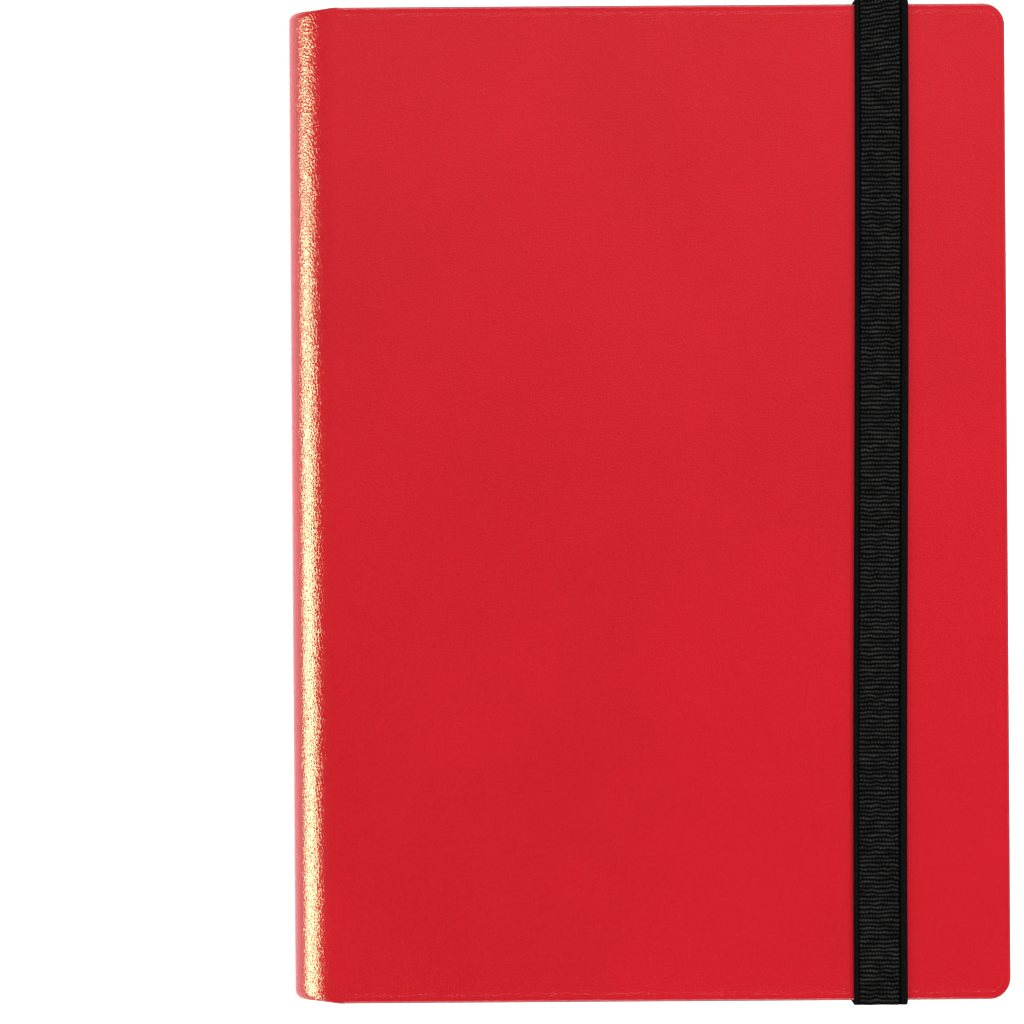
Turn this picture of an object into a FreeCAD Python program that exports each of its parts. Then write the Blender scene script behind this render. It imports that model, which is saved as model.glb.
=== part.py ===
import FreeCAD, Part
import math
import os
import Sketcher

# A nine-pocket trading card binder, closed and lying on its back cover.
# +X runs from the spine to the fore edge, +Y from the tail to the head, +Z up through the front
# cover. The origin is on the surface the binder lies on, at the middle of its footprint.

# Driving dimensions, in millimetres. Each becomes a named cell of the document's spreadsheet.
DRIVING = {
    "cover_width": 229.0,
    "cover_length": 318.0,
    "body_height": 28.0,
    "cover_corner": 7.0,
    "shoulder_run": 16.0,
    "shoulder_drop": 10.0,
    "skin_thick": 0.6,
    "board_thick": 1.4,
    "hem_thick": 0.3,
    "hem_width": 12.0,
    "lining_thick": 0.3,
    "lining_inset": 1.2,
    "board_setback": 1.0,
    "spine_board_inset": 2.0,
    "strap_width": 17.2,
    "strap_thick": 1.2,
    "strap_from_edge": 40.5,
    "strap_edge_gap": 0.5,
    "strap_wrap": 2.0,
    "strap_lift": 0.1,
    "strap_tongue": 14.0,
    "strap_bend": 1.2,
    "slit_clearance": 0.3,
    "binding_inside": 8.4,
    "binding_thick": 0.4,
    "binding_depth": 4.6,
    "binding_gap": 0.1,
    "stitch_length": 3.5,
    "stitch_pitch": 8.0,
    "stitch_thick": 0.4,
    "stitch_from_edge": 1.8,
    "gutter_pitch": 0.415,
    "gutter_clearance": 0.3,
    "leaf_root": 18.0,
    "leaf_pitch": 1.13,
    "leaf_corner": 4.0,
    "leaf_end_margin": 4.5,
    "sheet_thick": 0.2,
    "film_thick": 0.1,
    "pocket_depth": 0.34,
    "column_pitch": 69.0,
    "row_pitch": 98.0,
    "column_slit": 1.6,
    "weld_width": 2.4,
    "card_width": 63.0,
    "card_height": 88.0,
    "card_thick": 0.3,
    "card_corner": 3.0,
    "card_clearance": 0.02,
}
LEAVES = 20
ROWS = 3
COLUMNS = 3
EXTRA_CUT = 5.0  # how far a cut runs past the faces it opens
CARD_REST = 0.5  # where a card lies in its pocket's slack, from 0 to 1
CARD_STRAY = 0.3  # how far cards stray from there, as a share of the slack
CARD_TURN = 2.4  # the angle in radians by which the straying goes round from card to card


class Size:
    """A length together with the spreadsheet expression that gives it."""

    def __init__(self, value, text):
        self.value = value
        self.text = text

    def __add__(self, other):
        other = size(other)
        return Size(self.value + other.value, f"({self.text} + {other.text})")

    def __sub__(self, other):
        other = size(other)
        return Size(self.value - other.value, f"({self.text} - {other.text})")

    def __mul__(self, factor):
        return Size(self.value * factor, f"({self.text} * {factor})")

    def __neg__(self):
        return Size(-self.value, f"(0 - {self.text})")


def size(number):
    """A Size from a Size or from a plain number."""
    return number if isinstance(number, Size) else Size(float(number), f"({float(number)})")


doc = FreeCAD.newDocument("card_binder")
sheet = doc.addObject("Spreadsheet::Sheet", "dims")
dim = {}
for row, (alias, number) in enumerate(DRIVING.items(), start=1):
    sheet.set(f"A{row}", alias)
    sheet.set(f"B{row}", str(number))
    sheet.setAlias(f"B{row}", alias)
    dim[alias] = Size(number, f"dims.{alias}")
doc.recompute()

# Places that several sub-parts share.
spine_face = dim["cover_width"] * -0.5
fore_edge = dim["cover_width"] * 0.5
half_length = dim["cover_length"] * 0.5
middle = dim["body_height"] * 0.5
cover_start = spine_face + dim["shoulder_run"]
board_top = dim["skin_thick"] + dim["board_thick"]
hem_top = board_top + dim["hem_thick"]
spine_flat_low = dim["shoulder_drop"]
spine_flat_height = dim["body_height"] - dim["shoulder_drop"] * 2
strap_centre = fore_edge - dim["strap_from_edge"]
strap_slit_half = dim["strap_width"] * 0.5 + dim["slit_clearance"]
strap_inner = half_length + dim["strap_edge_gap"]
strap_outer = strap_inner + dim["strap_thick"]
tongue_end = half_length - dim["strap_tongue"]
leg_top = dim["body_height"] - dim["strap_wrap"]
binding_start = spine_face + hem_top + dim["binding_gap"]
binding_end = binding_start + dim["binding_depth"]
binding_half = dim["binding_inside"] * 0.5 + dim["binding_thick"]
leaf_start = spine_face + dim["leaf_root"]
leaf_end = leaf_start + dim["column_pitch"] * COLUMNS
rows_half = dim["row_pitch"] * (ROWS / 2)
leaf_half_length = rows_half + dim["leaf_end_margin"]


def bind(thing, path, length):
    """Tie one property or constraint of an object to the spreadsheet."""
    thing.setExpression(path, size(length).text)


def new_body(name, z=0.0, flipped=False):
    """A PartDesign body at height z, turned over about the X axis if flipped."""
    body = doc.addObject("PartDesign::Body", name)
    body.Label = name
    turn = FreeCAD.Rotation(FreeCAD.Vector(1, 0, 0), 180.0 if flipped else 0.0)
    body.Placement = FreeCAD.Placement(FreeCAD.Vector(0, 0, size(z).value), turn)
    bind(body, "Placement.Base.z", z)
    return body


def rectilinear_sketch(body, name, plane, corners, rounds=None, offset=0.0):
    """A closed outline of level and upright edges, fully constrained from the origin.

    corners are (across, up) pairs of sizes, and rounds gives a radius for some corner numbers.
    """
    rounds = rounds or {}
    sketch = body.newObject("Sketcher::SketchObject", f"{body.Name}_{name}")
    origin_plane = next(f for f in body.Origin.OriginFeatures if f.Role == plane)
    sketch.AttachmentSupport = [(origin_plane, "")]
    sketch.MapMode = "FlatFace"
    bind(sketch, "AttachmentOffset.Base.z", offset)

    count = len(corners)
    points = [FreeCAD.Vector(size(x).value, size(y).value, 0) for x, y in corners]
    steps = [(points[(i + 1) % count] - points[i]).normalize() for i in range(count)]
    for i in range(count):
        start = points[i] + steps[i] * size(rounds.get(i, 0)).value
        end = points[(i + 1) % count] - steps[i] * size(rounds.get((i + 1) % count, 0)).value
        sketch.addGeometry(Part.LineSegment(start, end), False)
    for i in range(count):
        level = abs(steps[i].y) < 0.5
        sketch.addConstraint(Sketcher.Constraint("Horizontal" if level else "Vertical", i))
        kind = "DistanceY" if level else "DistanceX"
        place = size(corners[i][1 if level else 0])
        number = sketch.addConstraint(Sketcher.Constraint(kind, -1, 1, i, 1, place.value))
        bind(sketch, f"Constraints[{number}]", place)
    for i in range(count):
        before = (i - 1) % count
        if i not in rounds:
            sketch.addConstraint(Sketcher.Constraint("Coincident", before, 2, i, 1))
            continue
        radius = size(rounds[i])
        left_turn = steps[before].cross(steps[i]).z > 0
        centre = points[i] - steps[before] * radius.value + steps[i] * radius.value
        first, last = -steps[i], steps[before]
        if not left_turn:
            first, last = last, first
        from_angle = math.atan2(first.y, first.x)
        to_angle = math.atan2(last.y, last.x)
        if to_angle < from_angle:
            to_angle += 2 * math.pi
        circle = Part.Circle(centre, FreeCAD.Vector(0, 0, 1), radius.value)
        arc = sketch.addGeometry(Part.ArcOfCircle(circle, from_angle, to_angle), False)
        arc_in, arc_out = (1, 2) if left_turn else (2, 1)
        sketch.addConstraint(Sketcher.Constraint("Tangent", before, 2, arc, arc_in))
        sketch.addConstraint(Sketcher.Constraint("Tangent", i, 1, arc, arc_out))
        number = sketch.addConstraint(Sketcher.Constraint("Radius", arc, radius.value))
        bind(sketch, f"Constraints[{number}]", radius)
    return sketch


def pad(body, sketch, length, midplane=False):
    """Raise a sketch into the body."""
    feature = body.newObject("PartDesign::Pad", f"{sketch.Name}_pad")
    feature.Profile = sketch
    feature.SideType = "Symmetric" if midplane else "One side"
    bind(feature, "Length", length)


def pocket(body, sketch, length, midplane=False):
    """Cut a sketch out of the body, along the sketch's normal or to both sides of it."""
    feature = body.newObject("PartDesign::Pocket", f"{sketch.Name}_pocket")
    feature.Profile = sketch
    feature.Reversed = True
    feature.SideType = "Symmetric" if midplane else "One side"
    bind(feature, "Length", length)


def rectangle(left, right, low, high):
    """Corner list of a rectangle, counter-clockwise from its low left corner."""
    return [(left, low), (right, low), (right, high), (left, high)]


def plate(body, name, left, right, half, thick, z=0.0, corner=None):
    """Pad a flat plate that is symmetric about the X axis, its two right corners rounded."""
    rounds = {} if corner is None else {1: corner, 2: corner}
    outline = rectangle(left, right, -half, half)
    sketch = rectilinear_sketch(body, name, "XY_Plane", outline, rounds, z)
    pad(body, sketch, thick)


def cover_skin(name, z, flipped, with_slits):
    """The red sheet of one cover: a shallow tray whose rim is turned in over the board."""
    body = new_body(name, z, flipped)
    corner = dim["cover_corner"]
    skin = dim["skin_thick"]
    plate(body, "face", cover_start, fore_edge, half_length, board_top, corner=corner)
    inside = rectangle(cover_start - EXTRA_CUT, fore_edge - skin, skin - half_length, half_length - skin)
    rounds = {1: corner - skin, 2: corner - skin}
    room = rectilinear_sketch(body, "room", "XY_Plane", inside, rounds, skin)
    pocket(body, room, dim["board_thick"] + EXTRA_CUT)
    hem_edge = fore_edge - dim["hem_width"]
    hem_half = half_length - dim["hem_width"]
    hem = [
        (cover_start, -half_length), (fore_edge, -half_length),
        (fore_edge, half_length), (cover_start, half_length),
        (cover_start, hem_half), (hem_edge, hem_half),
        (hem_edge, -hem_half), (cover_start, -hem_half),
    ]
    hem_sketch = rectilinear_sketch(body, "hem", "XY_Plane", hem, {1: corner, 2: corner}, board_top)
    pad(body, hem_sketch, dim["hem_thick"])
    if with_slits:
        slit = rectangle(strap_centre - strap_slit_half, strap_centre + strap_slit_half, skin, board_top)
        slit_sketch = rectilinear_sketch(body, "slits", "XZ_Plane", slit)
        pocket(body, slit_sketch, dim["cover_length"] + EXTRA_CUT, midplane=True)


def cover_board(name, z, flipped, with_notches):
    """The stiff board of one cover."""
    body = new_body(name, z, flipped)
    skin = dim["skin_thick"]
    left = cover_start + dim["board_setback"]
    half = half_length - skin
    plate(body, "board", left, fore_edge - skin, half, dim["board_thick"], skin, dim["cover_corner"] - skin)
    if not with_notches:
        return
    sides = (strap_centre - strap_slit_half, strap_centre + strap_slit_half)
    depth_end = tongue_end - dim["slit_clearance"]
    for end, low, high in (("head", depth_end, half + EXTRA_CUT), ("tail", -half - EXTRA_CUT, -depth_end)):
        notch = rectilinear_sketch(body, f"{end}_notch", "XY_Plane", rectangle(*sides, low, high))
        pocket(body, notch, board_top + EXTRA_CUT)


def cover_lining(name, z, flipped):
    """The black sheet inside one cover: it fills the hem's opening and covers the hem."""
    body = new_body(name, z, flipped)
    inset = dim["lining_inset"]
    gap = dim["slit_clearance"]
    hem_edge = fore_edge - dim["hem_width"] - gap
    hem_half = half_length - dim["hem_width"] - gap
    left = cover_start + dim["board_setback"]
    right = fore_edge - inset
    plate(body, "lower", left, hem_edge, hem_half, dim["hem_thick"], board_top)
    plate(body, "upper", left, right, half_length - inset, dim["lining_thick"], hem_top,
          dim["cover_corner"] - inset)


def box(name, low_corner, extent):
    """A Part box with its low corner and its sides bound to the spreadsheet."""
    item = doc.addObject("Part::Box", name)
    item.Label = name
    for axis, place in zip("xyz", low_corner):
        bind(item, f"Placement.Base.{axis}", place)
    for side, length in zip(("Length", "Width", "Height"), extent):
        bind(item, side, length)
    return item


def quarter_shell(inset, thick, end_inset):
    """One rounded shoulder as a shell: a quarter ellipse from cover to spine, drawn along Y."""
    run = dim["shoulder_run"].value - inset
    drop = dim["shoulder_drop"].value - inset
    centre = FreeCAD.Vector(cover_start.value, 0, dim["body_height"].value - dim["shoulder_drop"].value)

    def arc(across, up):
        side = centre + FreeCAD.Vector(-across, 0, 0)
        top = centre + FreeCAD.Vector(0, 0, up)
        return Part.Arc(Part.Ellipse(side, top, centre), 0, math.pi / 2).toShape()

    outer = arc(run, drop)
    inner = arc(run - thick, drop - thick)
    ends = [
        Part.makeLine(outer.Vertexes[k].Point, inner.Vertexes[k].Point)
        for k in (0, 1)
    ]
    face = Part.Face(Part.Wire(Part.__sortEdges__([outer, ends[1], inner, ends[0]])))
    half = half_length.value - end_inset
    face.translate(FreeCAD.Vector(0, -half, 0))
    return face.extrude(FreeCAD.Vector(0, 2 * half, 0))


def mirrored_down(shape):
    """The same shape on the back cover's side of the mid plane."""
    return shape.mirror(FreeCAD.Vector(0, 0, middle.value), FreeCAD.Vector(0, 0, 1))


def shape_feature(name, shape):
    """A sub-part whose shape is worked out above from the spreadsheet's sizes."""
    item = doc.addObject("Part::Feature", name)
    item.Label = name
    item.Shape = shape
    item.Placement = FreeCAD.Placement()
    return item


def make_spine():
    """Skin, stiffener and lining of the spine, and the two rounded shoulders beside it."""
    skin = dim["skin_thick"]
    inset = dim["lining_inset"]
    layers = (
        ("spine_skin", spine_face, skin, 0.0),
        ("spine_board", spine_face + skin, dim["board_thick"], dim["spine_board_inset"]),
        ("spine_lining", spine_face + board_top, dim["lining_thick"], inset),
    )
    for name, across, thick, end_inset in layers:
        half = half_length - end_inset
        box(name, (across, -half, spine_flat_low), (thick, half * 2, spine_flat_height))
    shoulder = quarter_shell(0, skin.value, 0)
    shape_feature("front_crease_skin", shoulder)
    shape_feature("back_crease_skin", mirrored_down(shoulder))
    lining = quarter_shell(skin.value, dim["lining_thick"].value, inset.value)
    shape_feature("crease_linings", Part.makeCompound([lining, mirrored_down(lining)]))


def make_binding():
    """The folded tape that grips the leaves' inner edges, and its two rows of stitches."""
    thick = dim["binding_thick"]
    body = new_body("binding_strip", middle)
    wall = binding_half - thick
    channel = [
        (binding_start, -binding_half), (binding_end, -binding_half),
        (binding_end, -wall), (binding_start + thick, -wall),
        (binding_start + thick, wall), (binding_end, wall),
        (binding_end, binding_half), (binding_start, binding_half),
    ]
    sketch = rectilinear_sketch(body, "channel", "XZ_Plane", channel)
    pad(body, sketch, leaf_half_length * 2, midplane=True)

    radius = dim["stitch_thick"].value / 2
    length = dim["stitch_length"].value
    pitch = dim["stitch_pitch"].value
    across = (binding_end - dim["stitch_from_edge"]).value
    away = binding_half.value + radius + dim["card_clearance"].value
    count = int(2 * leaf_half_length.value / pitch)
    stitches = []
    for side in (-1, 1):
        for number in range(count):
            along = (number - (count - 1) / 2) * pitch - length / 2
            start = FreeCAD.Vector(across, along, middle.value + side * away)
            stitches.append(Part.makeCylinder(radius, length, start, FreeCAD.Vector(0, 1, 0)))
    shape_feature("binding_stitches", Part.makeCompound(stitches))


def leaf_height(number):
    """Mid height of a leaf. Leaf 1 is the first inside the front cover."""
    return middle + dim["leaf_pitch"] * ((LEAVES + 1) / 2 - number)


def make_gutters():
    """The flexing inner strip of every leaf, fanning out from the binding to the pockets."""
    thick = dim["sheet_thick"].value
    fold_start = (binding_start + dim["binding_thick"] + dim["gutter_clearance"]).value
    fold_end = binding_end.value
    strips = []
    for number in range(1, LEAVES + 1):
        gripped = middle.value + dim["gutter_pitch"].value * ((LEAVES + 1) / 2 - number)
        free = leaf_height(number).value
        lower = [(fold_start, gripped), (fold_end, gripped), (leaf_start.value, free)]
        outline = [FreeCAD.Vector(x, -leaf_half_length.value, z - thick / 2) for x, z in lower]
        outline += [point + FreeCAD.Vector(0, 0, thick) for point in reversed(outline)]
        face = Part.Face(Part.makePolygon(outline + outline[:1]))
        strips.append(face.extrude(FreeCAD.Vector(0, 2 * leaf_half_length.value, 0)))
    shape_feature("leaf_gutters", Part.makeCompound(strips))


def make_pocket_columns():
    """One side's clear film, a solid per column: welded on its outer side and between rows."""
    weld = dim["weld_width"]
    half_sheet = dim["sheet_thick"] * 0.5
    film_low = half_sheet + dim["pocket_depth"]
    columns = []
    for column in range(COLUMNS):
        left = leaf_start + dim["column_pitch"] * column + dim["column_slit"]
        right = leaf_start + dim["column_pitch"] * (column + 1)
        name = f"column_{column + 1}"
        pieces = [
            box(f"{name}_film", (left, -rows_half, film_low),
                (right - left, rows_half * 2, dim["film_thick"])),
            box(f"{name}_side_weld", (right - weld, -rows_half, half_sheet),
                (weld, rows_half * 2, dim["pocket_depth"])),
        ]
        for line in range(ROWS + 1):
            low = -rows_half + (rows_half * 2 - weld) * (line / ROWS)
            pieces.append(box(f"{name}_weld_{line + 1}", (left, low, half_sheet),
                              (right - left, weld, dim["pocket_depth"])))
        front = doc.addObject("Part::MultiFuse", f"{name}_front")
        front.Shapes = pieces
        front.Refine = True
        back = doc.addObject("Part::Mirroring", f"{name}_back")
        back.Source = front
        back.Normal = FreeCAD.Vector(0, 0, 1)
        columns += [front, back]
    return columns


def make_leaves():
    """Every leaf: a black backing sheet with clear pockets on both of its faces."""
    columns = make_pocket_columns()
    for number in range(1, LEAVES + 1):
        height = leaf_height(number)
        body = new_body(f"leaf_{number:02d}_sheet", height)
        plate(body, "sheet", leaf_start, leaf_end, leaf_half_length, dim["sheet_thick"],
              dim["sheet_thick"] * -0.5, dim["leaf_corner"])
        pockets = doc.addObject("Part::Compound", f"leaf_{number:02d}_pockets")
        pockets.Label = pockets.Name
        pockets.Links = columns
        bind(pockets, "Placement.Base.z", height)


def card_shape():
    """One card with rounded corners, its low left corner at the origin."""
    width = dim["card_width"].value
    height = dim["card_height"].value
    blank = Part.makeBox(width, height, dim["card_thick"].value)
    upright = [edge for edge in blank.Edges if abs(edge.tangentAt(edge.FirstParameter).z) > 0.5]
    return blank.makeFillet(dim["card_corner"].value, upright)


def make_cards():
    """Nine cards on each of the two pages that face each other at the middle of the block."""
    blank = card_shape()
    clearance = dim["card_clearance"].value
    above = dim["sheet_thick"].value / 2 + clearance
    faces = ((LEAVES // 2, -above - dim["card_thick"].value), (LEAVES // 2 + 1, above))
    pocket_width = (dim["column_pitch"] - dim["column_slit"] - dim["weld_width"] - dim["card_width"]).value
    row_slack = (dim["row_pitch"] - dim["weld_width"] * 2 - dim["card_height"]).value
    for leaf, offset in faces:
        cards = []
        for column in range(COLUMNS):
            for line in range(ROWS):
                settle = CARD_REST + CARD_STRAY * math.sin(CARD_TURN * (column + COLUMNS * line) + leaf)
                across = leaf_start + dim["column_pitch"] * column + dim["column_slit"]
                up = -rows_half + dim["row_pitch"] * line + dim["weld_width"]
                corner = FreeCAD.Vector(
                    across.value + pocket_width * settle,
                    up.value + row_slack * (1 - settle),
                    leaf_height(leaf).value + offset,
                )
                cards.append(blank.translated(corner))
        shape_feature(f"leaf_{leaf:02d}_cards", Part.makeCompound(cards))


def make_strap():
    """The elastic strap: the band over the front cover, and its ends sewn into the back cover."""
    thick = dim["strap_thick"]
    body = new_body("strap_band")
    top = dim["body_height"] + thick
    band = [
        (-strap_outer, leg_top), (-strap_inner, leg_top),
        (-strap_inner, dim["body_height"]), (strap_inner, dim["body_height"]),
        (strap_inner, leg_top), (strap_outer, leg_top),
        (strap_outer, top), (-strap_outer, top),
    ]
    rounds = {6: dim["strap_bend"], 7: dim["strap_bend"]}
    sketch = rectilinear_sketch(body, "band", "YZ_Plane", band, rounds, strap_centre)
    pad(body, sketch, dim["strap_width"], midplane=True)

    low = dim["skin_thick"] + dim["strap_lift"]
    end = doc.addObject("PartDesign::Body", "strap_head_end")
    hook = [
        (tongue_end, low), (strap_outer, low), (strap_outer, leg_top),
        (strap_inner, leg_top), (strap_inner, low + thick), (tongue_end, low + thick),
    ]
    sketch = rectilinear_sketch(end, "hook", "YZ_Plane", hook, {1: dim["strap_bend"]}, strap_centre)
    pad(end, sketch, dim["strap_width"], midplane=True)
    other = doc.addObject("Part::Mirroring", "strap_tail_end")
    other.Source = end
    other.Normal = FreeCAD.Vector(0, 1, 0)
    ends = doc.addObject("Part::Compound", "strap_ends")
    ends.Label = "strap_ends"
    ends.Links = [end, other]


def node_objects():
    """The sub-parts to write, by the name of their node."""
    names = [
        "front_cover_skin", "front_board", "front_lining",
        "back_cover_skin", "back_board", "back_lining",
        "spine_skin", "spine_board", "spine_lining",
        "front_crease_skin", "back_crease_skin", "crease_linings",
        "binding_strip", "binding_stitches", "leaf_gutters",
        "strap_band", "strap_ends",
    ]
    for number in range(1, LEAVES + 1):
        names += [f"leaf_{number:02d}_sheet", f"leaf_{number:02d}_pockets"]
    names += [f"leaf_{number:02d}_cards" for number in (LEAVES // 2, LEAVES // 2 + 1)]
    return {name: doc.getObjectsByLabel(name)[0] for name in names}


def check_document():
    """Stop if any object failed to recompute or has a missing or invalid shape."""
    for item in doc.Objects:
        if "Invalid" in item.State or "Error" in item.State:
            raise RuntimeError(f"{item.Name} failed: {item.State}")
    for name, item in node_objects().items():
        if item.Shape.isNull() or not item.Shape.isValid() or not item.Shape.Solids:
            raise RuntimeError(f"{name} has no valid solid")


cover_skin("back_cover_skin", 0.0, flipped=False, with_slits=True)
cover_board("back_board", 0.0, flipped=False, with_notches=True)
cover_lining("back_lining", 0.0, flipped=False)
cover_skin("front_cover_skin", dim["body_height"], flipped=True, with_slits=False)
cover_board("front_board", dim["body_height"], flipped=True, with_notches=False)
cover_lining("front_lining", dim["body_height"], flipped=True)
make_spine()
make_binding()
make_gutters()
make_leaves()
make_cards()
make_strap()

doc.recompute()
check_document()
os.makedirs("parts", exist_ok=True)
for name, item in node_objects().items():
    item.Shape.exportStep(f"parts/{name}.step")
    print(f"{name}: {len(item.Shape.Solids)} solids, {item.Shape.Volume:.0f} mm3")
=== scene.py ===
import math

import bpy
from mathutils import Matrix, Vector, noise


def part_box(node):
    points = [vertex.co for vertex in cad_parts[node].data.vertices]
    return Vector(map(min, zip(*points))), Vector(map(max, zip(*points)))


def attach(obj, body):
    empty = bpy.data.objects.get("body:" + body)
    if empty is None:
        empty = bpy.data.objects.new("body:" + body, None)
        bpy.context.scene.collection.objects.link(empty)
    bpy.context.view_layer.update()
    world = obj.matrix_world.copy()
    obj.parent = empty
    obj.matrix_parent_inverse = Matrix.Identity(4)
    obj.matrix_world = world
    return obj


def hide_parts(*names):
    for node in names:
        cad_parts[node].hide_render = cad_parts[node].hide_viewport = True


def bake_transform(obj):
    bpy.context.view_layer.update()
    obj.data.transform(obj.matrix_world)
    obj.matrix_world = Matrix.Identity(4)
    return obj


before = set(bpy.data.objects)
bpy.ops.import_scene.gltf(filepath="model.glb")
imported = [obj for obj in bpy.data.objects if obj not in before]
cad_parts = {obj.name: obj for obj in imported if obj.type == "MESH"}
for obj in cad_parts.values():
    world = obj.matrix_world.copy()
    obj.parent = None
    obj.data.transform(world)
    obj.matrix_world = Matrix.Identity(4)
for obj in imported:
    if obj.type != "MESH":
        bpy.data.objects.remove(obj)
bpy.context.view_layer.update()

MM = 0.001

# ---------------------------------------------------------------- places read from the frame
front_low, front_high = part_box("front_cover_skin")
lining_low, lining_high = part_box("front_lining")
spine_low, spine_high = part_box("spine_skin")
spine_lining_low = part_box("spine_lining")[0]
binding_low, binding_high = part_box("binding_strip")
gutter_low, gutter_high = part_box("leaf_gutters")
strap_low, strap_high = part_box("strap_band")
ends_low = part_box("strap_ends")[0]

COVER_START = front_low.x
FORE_EDGE = front_high.x
SPINE_FACE = spine_low.x
HALF_LENGTH = front_high.y
HEIGHT = front_high.z
MIDDLE = HEIGHT / 2
SHOULDER_TOP = spine_high.z
SHOULDER_RUN = COVER_START - SPINE_FACE
SHOULDER_DROP = HEIGHT - SHOULDER_TOP
SKIN = spine_high.x - spine_low.x
COVER_DEPTH = HEIGHT - front_low.z
SPINE_DEPTH = spine_lining_low.x - SPINE_FACE
LINING = front_low.z - lining_low.z
LINING_INSET = FORE_EDGE - lining_high.x
LEAVES = sum(1 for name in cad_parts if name.endswith("_sheet"))

# Corner radii, which the frame's boxes don't tell.
COVER_CORNER = 7 * MM
SPINE_CORNER = 2.5 * MM


# ---------------------------------------------------------------- mesh helpers
SHARP_ANGLE = math.radians(50)


def mesh_piece(name, verts, faces, smooth=True):
    """An object with this mesh, linked to the scene."""
    mesh = bpy.data.meshes.new(name)
    mesh.from_pydata([tuple(v) for v in verts], [], faces)
    mesh.validate()
    if smooth:
        mesh.polygons.foreach_set("use_smooth", [True] * len(mesh.polygons))
        mesh.set_sharp_from_angle(angle=SHARP_ANGLE)
    piece = bpy.data.objects.new(name, mesh)
    bpy.context.scene.collection.objects.link(piece)
    return piece


def loft_faces(rings, per_ring):
    """Quads between closed rings of points that follow each other, and an n-gon at each end."""
    faces = []
    for ring in range(rings - 1):
        for k in range(per_ring):
            a = ring * per_ring + k
            b = ring * per_ring + (k + 1) % per_ring
            faces.append((a, b, b + per_ring, a + per_ring))
    last = (rings - 1) * per_ring
    faces.append(tuple(reversed(range(per_ring))))
    faces.append(tuple(range(last, last + per_ring)))
    return faces


def smooth_step(t):
    """0 below 0, 1 above 1, and an even S between them."""
    t = max(0.0, min(1.0, t))
    return t * t * (3 - 2 * t)


def tuck(to_end, radius):
    """How far a rounded edge of this radius has drawn in, at this distance from its end."""
    over = max(0.0, radius - to_end)
    return radius - math.sqrt(max(0.0, radius ** 2 - over ** 2))


def spread(length, step, fine):
    """Distances from an edge: close together near it as listed in fine, then a step apart."""
    count = max(1, round((length - fine[-1]) / step))
    return list(fine) + [fine[-1] + (length - fine[-1]) * k / count for k in range(1, count + 1)]


def stations(half, corner, step):
    """Y places from tail to head, close together where the outline turns its corners."""
    fine = [corner * (1 - math.cos(math.radians(a))) for a in range(0, 91, 6)]
    reach = spread(half, step, fine)
    return [-half + d for d in reach] + [half - d for d in reversed(reach[:-1])]


# ---------------------------------------------------------------- the cover case
SPINE_SHORT = 0.7 * MM       # how much shorter the case is at the spine than over the boards
ROLL = 0.7 * MM              # radius of the turned edges of a covered board
BOARD_STEP = 0.9 * MM        # run in which the case thickens from bare skin to covered board
EDGE_DIP = 0.07 * MM         # depth of the faint hollow inside a turned edge
EDGE_DIP_AT = 1.9 * MM
EDGE_DIP_WIDTH = 0.6 * MM
WAVE = 0.10 * MM             # how uneven the sheet is over the board
WAVES_PER_METRE = 24
RIM = 0.5 * MM               # width of the painted shade line where the skin turns over the edge
THINNEST = 0.08 * MM         # half thickness that a layer keeps at its ends
SHOULDER_STEP = 4            # degrees between the points of the rounded shoulder
CASE_STEP = 4 * MM           # length of mesh along the spine
COVER_STEP = 5 * MM          # and across the cover


def edge_distance(x, y):
    """Distance from a place on the cover to its nearest free edge."""
    to_fore = FORE_EDGE - x
    to_end = HALF_LENGTH - abs(y)
    if to_fore < COVER_CORNER and to_end < COVER_CORNER:
        return COVER_CORNER - math.hypot(COVER_CORNER - to_fore, COVER_CORNER - to_end)
    return min(to_fore, to_end)


def surface_drop(x, y):
    """How far the outer face lies below its flat: soft unevenness and the dip inside the edge."""
    soft = 0.5 + 0.5 * noise.noise(Vector((x * WAVES_PER_METRE, y * WAVES_PER_METRE, 0.3)))
    dip = math.exp(-((edge_distance(x, y) - EDGE_DIP_AT) / EDGE_DIP_WIDTH) ** 2)
    return WAVE * soft + EDGE_DIP * dip


def case_section(fore):
    """The case's outer line in XZ, from the middle of the spine over the shoulder to the edge.

    Each entry is (point, outward normal, covered): covered is 1 over a board and 0 over the crease.
    """
    section = []
    for k in range(4):
        z = MIDDLE + (SHOULDER_TOP - MIDDLE) * k / 4
        section.append((Vector((SPINE_FACE, 0, z)), Vector((-1, 0, 0)), 1.0))
    for degrees in range(0, 91, SHOULDER_STEP):
        across = math.cos(math.radians(degrees))
        up = math.sin(math.radians(degrees))
        point = Vector((COVER_START - SHOULDER_RUN * across, 0, SHOULDER_TOP + SHOULDER_DROP * up))
        normal = Vector((-across / SHOULDER_RUN, 0, up / SHOULDER_DROP)).normalized()
        section.append((point, normal, 1 - smooth_step((degrees - 2) / 8)))
    near_board = [COVER_START + BOARD_STEP * k / 3 for k in range(1, 4)]
    near_fore = spread(fore - near_board[-1], COVER_STEP, [k * 0.5 * MM for k in range(9)])
    for x in near_board + [fore - distance for distance in reversed(near_fore[:-1])]:
        covered = smooth_step((x - COVER_START) / BOARD_STEP)
        section.append((Vector((x, 0, HEIGHT)), Vector((0, 0, 1)), covered))
    return section


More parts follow.
